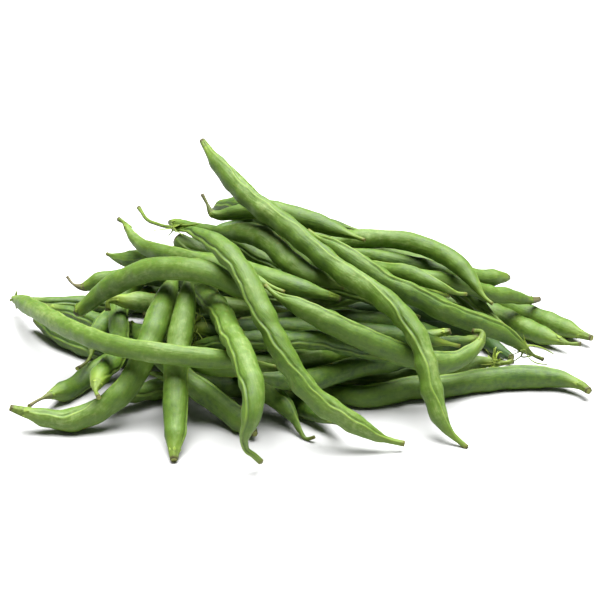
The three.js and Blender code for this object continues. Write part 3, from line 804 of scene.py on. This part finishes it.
@dataclass(frozen=True)
class Bean:
    """One bean: the solid that it stands for, its colouring and its ends, in millimetres.

    The seam's turns are in degrees, by their share of the length: 0 faces the front, and 90
    either way is an edge. The shoulder's places are after the collar, the beak's before the
    tip.
    """

    label: str
    tone_and_shade: float = 0.0
    yellow: float = 0.4
    calyx: Calyx = Calyx.PRESSED
    seam: dict[float, float] | None = None
    spacing: float = 0.9
    sides: int = 40
    stem: float = 5.0
    stem_age: float = 0.15
    thin_stem: bool = False
    seam_rise: float = 0.26
    seam_dip: float = 0.36
    seam_waver: float = 0.6
    seam_show: float = 1.0
    seed_swell: float = 0.1
    seed_pitch: float = 10.0
    dents: float = 0.4
    shoulder: Span = (0.5, 7.0)
    beak: Span = (9.0, 3.0)
    mean_width: float = 0.985
    width_drift: float = 0.018

    @property
    def node(self) -> str:
        """The name of the solid that the bean stands for."""
        return "bean_" + self.label

    @property
    def number(self) -> int:
        """A number of the bean's own, for what is left to chance."""
        weighed = (ord(letter) * weight for weight, letter in enumerate(self.node, FIRST_WEIGHT))
        return sum(weighed) % CHANCES

    @property
    def name(self) -> str:
        """The piece's name."""
        return self.label + "_pod"

    def draw_route(self) -> tuple[bpy.types.Object, int, int]:
        """Draw the middle line, with what the tree reads along it.

        Returns:
            The line as a mesh object, its count of spots, and the spot at the collar.
        """
        route = SolidReader(self.node, self.thin_stem).route(self.spacing)
        places = route.places
        length = places[-1]
        after_shoulder = _rise(places, *(self.stem + place for place in self.shoulder))
        in_beak = _rise(places, *(length - place for place in self.beak))
        forward = _unit(np.gradient(route.spots, axis=0))
        upright = self._seam_directions(route, forward)
        growth = Growth(places, np.random.default_rng(self.number))
        marks = {
            "upright": upright,
            "across": np.cross(forward, upright),
            "forward": forward,
            "radius": route.radii * (self.mean_width + self.width_drift * growth.drift()),
            "pod": after_shoulder * (1 - in_beak),
            "swell": growth.swells(self.stem, length, self.seed_pitch),
            "waver": growth.wavers(),
            "along": places,
            "from_collar": places - self.stem,
            "to_tip": length - places,
        }
        mesh = bpy.data.meshes.new("route")
        edges = [(k, k + 1) for k in range(len(places) - 1)]
        mesh.from_pydata((route.spots * MM).tolist(), edges, [])
        for label, numbers in marks.items():
            kind, key = ("FLOAT", "value") if numbers.ndim == 1 else ("FLOAT_VECTOR", "vector")
            layer = mesh.attributes.new(label, kind, "POINT")
            layer.data.foreach_set(key, np.ascontiguousarray(numbers, np.float32).ravel())
        return put("route", mesh), len(places), int(np.searchsorted(places, self.stem))

    def _seam_directions(self, route: Route, forward: Numbers) -> Numbers:
        """Point from the middle line to the seam.

        Args:
            route: The bean's route.
            forward: Unit vectors along it.

        Returns:
            Unit vectors square to the line.
        """
        rough = route.seam_side
        if self.seam:
            front = np.array([0.0, -math.cos(FRONT_RISE), math.sin(FRONT_RISE)])
            facing = _unit(front - forward * (forward @ front)[:, None])
            sideways = np.cross(forward, facing)
            shares = route.places / route.places[-1]
            turns = np.interp(shares, list(self.seam), list(self.seam.values()))
            turn = np.radians(turns)[:, None]
            rough = facing * np.cos(turn) + sideways * np.sin(turn)
        return _unit(rough - forward * (rough * forward).sum(1)[:, None])

    def build(self, tree: "BeanTree") -> bpy.types.Object:
        """Grow the bean along its route and put it in the place of its solid.

        Args:
            tree: The tree that grows beans.

        Returns:
            The bean.
        """
        start, rings, collar = self.draw_route()
        values = asdict(self) | asdict(self.calyx.value)
        values |= {"rings": rings, "collar_ring": collar, "chance": self.number}
        mesh = tree.run(start, values)
        mesh.name = self.name
        piece = put(self.name, mesh)
        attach(piece, BODY)
        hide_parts(self.node)
        log.info("%s: %d rings, %d faces", self.name, rings, len(mesh.polygons))
        return piece


@dataclass(frozen=True)
class PodForm:
    """Relief of every pod, in millimetres or in shares of its radius.

    A pair is a line's place beside the seam and its width, or where a change begins and ends.
    """

    cap_rings: int = 3
    crowding: float = 0.5
    cheeks: float = 0.07
    lopsided: float = 0.35
    bead: Span = (0.5, 0.45)
    groove: Span = (-0.38, 0.3)
    back_ridge: Span = (0.0, 0.6)
    back_share: float = 0.35
    dent_scale: float = 0.28
    dent_layers: int = 3
    dent_along: float = 0.6
    chance_step: float = 7.3
    rib_count: int = 5
    ribs: float = 0.12
    ribbed_radii: Span = (0.7, 1.6)
    cut_dish: float = 0.3
    stem_end: float = 0.2
    collar_end: float = 1.5


@dataclass(frozen=True)
class LeafyForm:
    """What calyx lobes and torn threads share, in millimetres and shares."""

    sunk: float = 0.15
    tone_and_shade: float = 0.35
    yellow: float = 0.5
    from_cut: float = 6.0
    tip_from_cut: float = 3.0
    from_tip: float = 5.0
    pattern_step: float = 2.0
    pattern_turn: float = 5.0
    turn_chance: Span = (-0.3, 0.3)
    size_chance: Span = (0.65, 1.2)
    either_way: Span = (-1.0, 1.0)


@dataclass(frozen=True)
class LobeForm(LeafyForm):
    """A calyx lobe: a small pointed leaf."""

    segments: int = 10
    rings: int = 8
    lean: float = 12.0
    root_spread: float = 0.35
    more_spread: float = 0.9
    taper: float = 1.12
    thickness: float = 0.22
    set_back: float = 0.7


@dataclass(frozen=True)
class ThreadForm(LeafyForm):
    """A torn thread: a thin curled tube."""

    sunk: float = 0.3
    tone_and_shade: float = 0.5
    tip_from_cut: float = 1.0
    sides: int = 6
    segments: int = 14
    root_width: float = 1.15
    thinning: float = 0.6
    flatness: float = 0.6
    outward: float = 0.55
    outward_lean: float = 0.3
    bow: float = 3.2
    swing: float = 0.8
    sideways: float = 1.2


@dataclass(frozen=True)
class Copies:
    """Copies of a mesh round the collar, with what their points know of themselves."""

    mesh: Value
    spun: tuple[Value, Value, Value]
    lot: tuple[Value, Value, Value]
    lean: tuple[Value, Value, Value]
    out: Value


class BeanTree(GeometryPlan):
    """Grows a bean along its route: stem, collar, pod with its seams, beak, calyx, threads."""

    COUNTS = ("sides", "rings", "collar_ring", "chance", "lobes", "threads")
    NUMBERS = (
        "seam_rise", "seam_dip", "seam_waver", "seam_show", "seed_swell", "dents", "tone_and_shade",
        "yellow", "stem_age", "lobe_length", "lobe_width", "spread", "thread_length",
        "thread_curl", "thread_radius",
    )

    def __init__(self, pod: PodSkin, stem: StemSkin, cut: CutEnd) -> None:
        """Write the tree.

        Args:
            pod: Finish of the pod.
            stem: Finish of the stem, calyx and threads.
            cut: Finish of the stem's cut.
        """
        counts = dict.fromkeys(self.COUNTS, "NodeSocketInt")
        super().__init__("bean", counts | dict.fromkeys(self.NUMBERS, "NodeSocketFloat"))
        self.pod_skin = pod.build()
        self.stem_skin = stem.build()
        self.cut_end = cut.build()
        pieces = [self._pod(PodForm()), self._lobes(LobeForm()), self._threads(ThreadForm())]
        join = self.add("GeometryNodeJoinGeometry")
        for piece in reversed(pieces):
            self.tree.links.new(piece.socket, join.node.inputs[0])
        self.close(self._inside_box(join))

    def _inside_box(self, mesh: Value) -> Value:
        """Return the mesh kept off the ground and inside the solids' box."""
        above = self.vector("MAXIMUM", self.here(), tuple(CAD_BOX[0]))
        return self.moved(mesh, self.vector("MINIMUM", above, tuple(CAD_BOX[1])))

    def _at(self, ring: Value, given: Value, kind: str) -> Value:
        """Return what a value is at one ring of the route."""
        sockets = {"Geometry": self.given("Geometry"), "Value": given, "Index": ring}
        return self.add("GeometryNodeSampleIndex", sockets, data_type=kind)

    def _read(self, label: str, ring: Value, kind: str = "FLOAT") -> Value:
        """Return what the route says at a ring."""
        return self._at(ring, self.stored(label, kind), kind)

    def _off_line(self, ring: Value, *offsets: Value) -> Value:
        """Return the place that lies off the middle line by the sum of some vectors."""
        centre = self._at(ring, self.here(), "FLOAT_VECTOR")
        return self.vector("ADD", centre, self.scaled(self.summed(*offsets), MM))

    def _axes(self, ring: Value, cosine: Value, sine: Value) -> tuple[Value, Value]:
        """Return the way outwards, by shares to the seam and across, and the way forwards."""
        upright, across, forward = (
            self._read(label, ring, "FLOAT_VECTOR") for label in ("upright", "across", "forward")
        )
        return self.summed(self.scaled(upright, cosine), self.scaled(across, sine)), forward

    def _marked(self, mesh: Value, place: Value, ends: Value, seam: Value) -> Value:
        """Store what the finishes read.

        Args:
            mesh: The mesh.
            place: Place across, up and along the bean.
            ends: Distance from collar and tip, and the bean's tone, which on some beans is set low
                as painted shade.
            seam: Distance from the cut or the seam's waver, age or seam, and yellow, which also
                sets how bright lobes and threads are, painted light on front_frayed's shaded
                calyx.

        Returns:
            The mesh with its marks.
        """
        marks = {"bean_place": place, "bean_ends": ends, "bean_seam": seam}
        for label, vector in marks.items():
            mesh = self.keep(mesh, label, vector)
        return mesh

    def _tube(self, sides: Value | int, segments: Value | int, cap_rings: int = 1) -> Value:
        """Return a closed tube of radius 1, from -1 to 1 high."""
        sockets = {"Vertices": sides, "Side Segments": segments, "Fill Segments": cap_rings}
        return self.add("GeometryNodeMeshCylinder", sockets, fill_type="TRIANGLE_FAN")

    def _pod(self, form: PodForm) -> Value:
        """Make stem, collar, pod and beak as one closed skin.

        Args:
            form: The pod's relief.

        Returns:
            The skin, dressed.
        """
        rings = self.given("rings")
        tube = self._tube(self.given("sides"), rings - 1, form.cap_rings)
        mesh = self.keep(tube, "spun", self.here())
        x, y, z = self.stored_parts("spun")
        ring = self.math("ROUND", (z + 1) * 0.5 * (rings - 1))
        rim = self.length(x, y)
        even = self.math("ARCTAN2", y, x)
        angle = even - self.math("SINE", even * 2) * (form.crowding / 2)
        cosine, sine = self.math("COSINE", angle), self.math("SINE", angle)

        radius, pod, along, swell, waver, from_collar, to_tip = (
            self._read(label, ring)
            for label in ("radius", "pod", "along", "swell", "waver", "from_collar", "to_tip")
        )
        waver = waver * self.given("seam_waver")
        seam_rise = self.given("seam_rise")
        cheek = self.math("ABSOLUTE", sine)
        lopsided = 1 + sine * form.lopsided
        share = 1 - pod * cheek * cheek * form.cheeks
        share = share + pod * cheek * lopsided * swell * self.given("seed_swell")

        from_seam = angle * radius - waver
        from_back = (math.pi - self.math("ABSOLUTE", angle)) * radius
        rise = self.hump(from_seam, *form.bead) * seam_rise
        dip = self.hump(from_seam, *form.groove) * self.given("seam_dip")
        back = self.hump(from_back, *form.back_ridge) * seam_rise * form.back_share
        chance = self.given("chance") * form.chance_step
        spot = self.joined(cosine * radius, sine * radius, along * form.dent_along + chance)
        dents = self.noise(spot, form.dent_scale, form.dent_layers) - NOISE_MEAN
        dents = dents * self.given("dents") * 2
        ribs = self.math("COSINE", angle * form.rib_count) * (1 - pod) * form.ribs
        lift = (rise - dip + back + dents) * pod + ribs * self.step(radius, *form.ribbed_radii)
        reach = (radius * share + lift) * rim

        dish = (1 - rim) * form.cut_dish * self.math("LESS_THAN", ring, 0.5)
        outward, forward = self._axes(ring, cosine * reach, sine * reach)
        place = self._off_line(ring, outward, self.scaled(forward, dish))
        beyond = self.math("GREATER_THAN", from_collar, form.collar_end)
        age = (1 - beyond) * self.given("stem_age")
        marked = self._marked(
            mesh,
            self.joined(cosine * radius * rim, sine * radius * rim, along + chance),
            self.joined(from_collar, to_tip, self.given("tone_and_shade")),
            self.joined(
                along + (waver - along) * beyond,
                pod * self.given("seam_show") + age,
                self.given("yellow"),
            ),
        )
        smooth = self.smoothed(self.moved(marked, place), tube.out("Side"))
        skinned = self.dressed(smooth, self.pod_skin)
        stem = self.math("LESS_THAN", from_collar, form.stem_end)
        skinned = self.dressed(skinned, self.stem_skin, stem)
        return self.dressed(skinned, self.cut_end, tube.out("Bottom"))

    def _chance(self, span: Span, salt: int) -> Value:
        """Return a random number for each point, the same on every run."""
        sockets = {2: span[0], 3: span[1], "Seed": self.given("chance") + salt}
        return self.add("FunctionNodeRandomValue", sockets, data_type="FLOAT").out(1)

    def _round_collar(self, blank: Value, count: Value, form: LeafyForm) -> Copies:
        """Set copies of a mesh round the collar.

        Args:
            blank: The mesh, 2 high.
            count: How many copies.
            form: What they share, and how they differ.

        Returns:
            The copies. Their lot is turn, size and swing, and their lean is three leans.
        """
        blank = self.keep(blank, "spun", self.here())
        index = self.add("GeometryNodeInputIndex")
        points = self.add("GeometryNodePoints", {"Count": count})
        turn = (index + self._chance(form.turn_chance, 1)) / count * (2 * math.pi)
        size = self._chance(form.size_chance, 2)
        swing, *leans = (self._chance(form.either_way, salt) for salt in (3, 4, 5, 6))
        points = self.keep(points, "lot", self.joined(turn, size, swing))
        points = self.keep(points, "lean", self.joined(*leans))
        copies = self.add("GeometryNodeInstanceOnPoints", {"Points": points, "Instance": blank})
        mesh = self.add("GeometryNodeRealizeInstances", {"Geometry": copies})
        spun, lot, lean = (self.stored_parts(label) for label in ("spun", "lot", "lean"))
        return Copies(mesh, spun, lot, lean, (spun[2] + 1) * 0.5)

    def _placed(
        self, copies: Copies, form: LeafyForm, outward: Value, ahead: Value, sideways: Value
    ) -> Value:
        """Put the points of lobes or threads in place and dress them.

        Args:
            copies: The copies round the collar.
            form: What they share.
            outward, ahead, sideways: How far each point is from the collar's middle.

        Returns:
            The mesh, dressed.
        """
        x, y, z = copies.spun
        turn, out = copies.lot[0], copies.out
        ring = self.given("collar_ring")
        radial, forward = self._axes(ring, self.math("COSINE", turn), self.math("SINE", turn))
        round_way = self.vector("CROSS_PRODUCT", forward, radial)
        axes = ((radial, outward), (forward, ahead), (round_way, sideways))
        place = self._off_line(ring, *(self.scaled(axis, off) for axis, off in axes))
        from_cut = form.from_cut - out * (form.from_cut - form.tip_from_cut)
        marked = self._marked(
            copies.mesh,
            self.joined(x, y, z * form.pattern_step + turn * form.pattern_turn),
            self.joined(out, out + form.from_tip, self.given("tone_and_shade") + form.tone_and_shade),
            self.joined(from_cut, 0.0, self.given("yellow") + form.yellow),
        )
        return self.dressed(self.smoothed(self.moved(marked, place)), self.stem_skin)

    def _lobes(self, form: LobeForm) -> Value:
        """Make the calyx lobes.

        Args:
            form: A lobe's form.

        Returns:
            The lobes, dressed.
        """
        sockets = {"Segments": form.segments, "Rings": form.rings}
        blank = self.add("GeometryNodeMeshUVSphere", sockets)
        copies = self._round_collar(blank, self.given("lobes"), form)
        x, y, _ = copies.spun
        out, lean = copies.out, copies.lean[0]
        opening = (self.given("spread") + lean * form.lean) * math.radians(1)
        opening = opening * (form.root_spread + out * form.more_spread)
        length = self.given("lobe_length") * copies.lot[1]
        outward = self.math("SINE", opening) * length * out + y * form.thickness
        outward = self._read("radius", self.given("collar_ring")) - form.sunk + outward
        ahead = self.math("COSINE", opening) * length * out - form.set_back
        sideways = x * ((form.taper - out) * self.given("lobe_width"))
        return self._placed(copies, form, outward, ahead, sideways)

    def _threads(self, form: ThreadForm) -> Value:
        """Make the torn threads of a frayed calyx.

        Args:
            form: A thread's form.

        Returns:
            The threads, dressed.
        """
        blank = self._tube(form.sides, form.segments)
        copies = self._round_collar(blank, self.given("threads"), form)
        x, y, _ = copies.spun
        _, size, swing = copies.lot
        lean, bend, curl = copies.lean
        out = copies.out
        length = self.given("thread_length") * size
        curl_by = self.given("thread_curl")
        thin = self.given("thread_radius") * (form.root_width - out * form.thinning)
        outward = length * out * (form.outward + lean * form.outward_lean)
        outward = self._read("radius", self.given("collar_ring")) - form.sunk + outward
        outward = outward + self.math("SINE", out * form.bow) * bend * curl_by + x * thin
        ahead = length * out * swing * form.swing + out * out * curl * curl_by + y * thin
        sideways = out * out * bend * curl_by * form.sideways + y * thin * form.flatness
        return self._placed(copies, form, outward, ahead, sideways)


# ---- the heap ----


# Core beans deep in the heap: their lowest tone is painted shade, which darkens the gaps between
# the outer beans.
HIDDEN = dict(
    tone_and_shade=-1.0, calyx=Calyx.BARE, spacing=1.8, sides=24, seam_show=0.3, seam_rise=0.12
)
DEEP_SEAM = dict(seam_rise=0.34, seam_dip=0.48)

BEANS = [
    Bean("ground_front", tone_and_shade=-0.15, seam={0: 100, 1: 70}),
    Bean("ground_front_left", tone_and_shade=-0.1),
    Bean("ground_front_right", stem=6.0, tone_and_shade=-0.05, seam={0: 75, 1: 60}),
    Bean("ground_frayed_right", stem=7.0, tone_and_shade=0.2, calyx=Calyx.FRAYED, yellow=0.9),
    Bean("lower_right", stem=3.0, tone_and_shade=-0.3, seam={0: 70, 1: 100}),
    Bean("lower_middle", stem=2.0, tone_and_shade=0.1, yellow=0.7, seam={0: -60, 1: -90}),
    Bean("ground_left_low", stem=3.0, tone_and_shade=-0.2),
    Bean("ground_left_middle", stem=4.0, tone_and_shade=-0.25),
    Bean("ground_left_high", stem=3.0, tone_and_shade=-0.25),
    Bean("ground_right_low", stem=9.0, tone_and_shade=0.1),
    Bean("ground_right_high", tone_and_shade=0.05),
    # Its low tone is painted shade: the cut stub lies in the heap's shadow.
    Bean("ground_cut_right", stem=1.5, tone_and_shade=-0.7, calyx=Calyx.BARE, yellow=0.0),
    *(Bean(f"core_{number:02}", **HIDDEN) for number in (1, 2, 3, 4)),
    Bean("back_low_left", tone_and_shade=0.1),
    Bean("back_low_right", tone_and_shade=-0.1),
    Bean("back_middle_left"),
    Bean("back_leaning", tone_and_shade=0.15),
    Bean("left_thin_stem", stem=14.0, tone_and_shade=-0.1, stem_age=0.8, seam={0: 70, 1: 95}),
    Bean("left_facing", stem=9.0, tone_and_shade=-0.05, yellow=0.7, seam={0: 55, 1: 90}),
    Bean("left_hanging_stem", stem=19.0, tone_and_shade=-0.2, stem_age=0.6, seam={0: -70, 1: -40}),
    Bean(
        "left_curled_stem", stem=7.0, tone_and_shade=0.25, yellow=1.0, calyx=Calyx.STAR, stem_age=0.0,
        seam={0: 100, 1: 110},
    ),
    Bean("left_corner", tone_and_shade=0.05, seam={0.05: -20, 0.2: -28, 0.35: -60, 0.5: -85, 1: -90}),
    Bean("left_toward_front", stem=3.0, tone_and_shade=0.1, seam={0: 75, 1: 88}),
    Bean("left_dark_stem", thin_stem=True, tone_and_shade=-0.1, stem=9.0, stem_age=1.0, seam={0: 80, 1: 60}),
    Bean("left_upper", tone_and_shade=-0.05, calyx=Calyx.BARE, yellow=0.1, stem_age=0.0),
    Bean("left_flared_stem", stem=7.0, tone_and_shade=0.05, stem_age=0.2, seam={0: -60, 1: -90}),
    Bean("left_round_end", stem=1.0, tone_and_shade=0.05, calyx=Calyx.BARE, yellow=0.0),
    Bean("front_crossing", stem=2.0, tone_and_shade=-0.05, seam={0: 60, 1: 75}),
    Bean("front_hooked", seam={0: -35, 1: -50}),
    Bean("front_under_crossing", tone_and_shade=-0.35),
    # Its calyx lies in shade under the beans above; the high yellow brightens it as painted light.
    Bean(
        "front_frayed", stem=3.0, tone_and_shade=-0.35, calyx=Calyx.FRAYED, yellow=2.0, stem_age=0.0,
        seam={0: 65, 1: 90},
    ),
    Bean("middle_low", tone_and_shade=-0.25, seam={0: 60, 1: 85}),
    # Its low tone is painted shade for the shaded gap it lies in.
    Bean("middle_dark", tone_and_shade=-0.9, seam={0: -70, 1: -50}),
    Bean("middle_narrow", tone_and_shade=0.3, yellow=0.8),
    Bean(
        "front_star", stem=4.0, tone_and_shade=0.15, calyx=Calyx.STAR, seed_swell=0.05,
        seam={0: -80, 1: -70},
    ),
    Bean(
        "front_tail", thin_stem=True, tone_and_shade=0.1, seam_rise=0.3, seam_dip=0.4,
        seam={0.1: 50, 0.3: 35, 0.6: 25, 0.75: 45, 0.9: 20, 1: 0},
    ),
    Bean("right_blunt", stem=2.0),
    Bean("right_grey_tail", tone_and_shade=0.05, stem_age=1.0),
    Bean("right_inner", tone_and_shade=-0.15),
    Bean("right_bright", tone_and_shade=0.1, seam={0: -60, 1: -80}),
    Bean("right_second"),
    Bean("crest_cross"),
    Bean("crest_arch_under", tone_and_shade=-0.05),
    Bean("crest_back_low", tone_and_shade=-0.2),
    Bean("crest_back", stem=9.0, tone_and_shade=0.05, stem_age=0.6, seam={0: 60, 1: 80}),
    Bean("crest_round_end", stem=1.5),
    Bean("crest_hump", stem=3.0, thin_stem=True, tone_and_shade=0.05, seam={0: -100, 1: -120}),
    Bean("crest_arch", stem=1.5, tone_and_shade=0.05, seam={0: -100, 1: -110}),
    Bean("front_curled", stem=8.0, seam={0: 65, 1: 55}, **DEEP_SEAM),
    Bean("top_right", tone_and_shade=0.05, seam={0: -75, 1: -95}),
    Bean(
        "top_torn", stem=9.0, calyx=Calyx.CURLY, yellow=0.5, stem_age=0.4, **DEEP_SEAM,
        seam={0: 45, 0.5: 42, 1: 50},
    ),
    Bean(
        "top_front", stem=28.0, thin_stem=True, tone_and_shade=0.1, calyx=Calyx.TORN, stem_age=0.3,
        seam_rise=0.36, seam_dip=0.5,
        seam={
            0.25: 20, 0.35: 30, 0.45: 32, 0.55: 48, 0.62: 15, 0.7: -20, 0.85: -25, 0.95: -20,
        },
    ),
    Bean(
        "top_leaning", tone_and_shade=0.1, **DEEP_SEAM,
        seam={
            0.05: -36, 0.3: -38, 0.45: -42, 0.56: -50, 0.62: -20, 0.68: 15, 0.75: 15, 0.85: -10,
            0.92: -35, 1: -45,
        },
    ),
]


# ---- floor, light and camera ----


@dataclass(frozen=True)
class Studio:
    """Plain pale floor, soft light from above, and the camera, in metres."""

    floor_side: float = 6.0
    floor_drop: float = 0.0001
    floor_colour: Colour = (0.5, 0.5, 0.5, 1.0)
    floor_roughness: float = 0.9
    sky_colour: Colour = (1.0, 1.0, 1.0, 1.0)
    sky_strength: float = 0.08
    key_strength: float = 12.5
    key_spread: float = 56.0
    key_from: tuple[float, float, float] = (0.05, 0.16, 1.0)
    target: tuple[float, float, float] = (0.001056, 0.009559, 0.025)
    distance: float = 0.75
    lens: float = 117.0
    sensor: float = 36.0
    farthest: float = 20.0

    def build(self) -> None:
        """Make floor, lights and camera."""
        self._floor()
        self._sky()
        self._lamp()
        self._camera()

    def _floor(self) -> None:
        """Make the floor."""
        side = self.floor_side / 2
        mesh = bpy.data.meshes.new("floor")
        corners = [(-side, -side), (side, -side), (side, side), (-side, side)]
        mesh.from_pydata([(x, y, -self.floor_drop) for x, y in corners], [], [(0, 1, 2, 3)])
        floor = put("floor", mesh)
        finish = {"Base Color": self.floor_colour, "Roughness": self.floor_roughness}
        mesh.materials.append(SkinPlan("pale floor").finished(finish))

    def _sky(self) -> None:
        """Make the even white light all round."""
        world = bpy.data.worlds.new("studio")
        world.use_nodes = True
        back = world.node_tree.nodes["Background"]
        back.inputs["Color"].default_value = self.sky_colour
        back.inputs["Strength"].default_value = self.sky_strength
        bpy.context.scene.world = world

    def _lamp(self) -> None:
        """Light the floor and the heap evenly from above, as a broad overcast opening does."""
        light = bpy.data.lights.new("key light", "SUN")
        light.energy = self.key_strength
        light.angle = math.radians(self.key_spread)
        lamp = put("key light", light)
        lamp.location = self.key_from
        lamp.rotation_euler = (-Vector(self.key_from)).to_track_quat("-Z", "Y").to_euler()

    def _camera(self) -> None:
        """Place the camera on its sight line."""
        lens = bpy.data.cameras.new("camera")
        lens.lens = self.lens
        lens.sensor_width = self.sensor
        lens.clip_end = self.farthest
        camera = put("camera", lens)
        toward = Vector((0, math.cos(FRONT_RISE), -math.sin(FRONT_RISE)))
        camera.location = Vector(self.target) - toward * self.distance
        camera.rotation_euler = toward.to_track_quat("-Z", "Y").to_euler()
        bpy.context.scene.camera = camera


def main() -> None:
    """Build the studio and every bean, and note the sizes."""
    logging.basicConfig(level=logging.INFO, format="%(message)s")
    bpy.context.scene.view_settings.view_transform = "Standard"
    Studio().build()
    tree = BeanTree(PodSkin(), StemSkin(), CutEnd())
    pieces = [bean.build(tree) for bean in BEANS]
    log.info("%d beans, %d faces", len(pieces), sum(len(piece.data.polygons) for piece in pieces))
    bpy.context.view_layer.update()


if __name__ == "__main__":
    main()
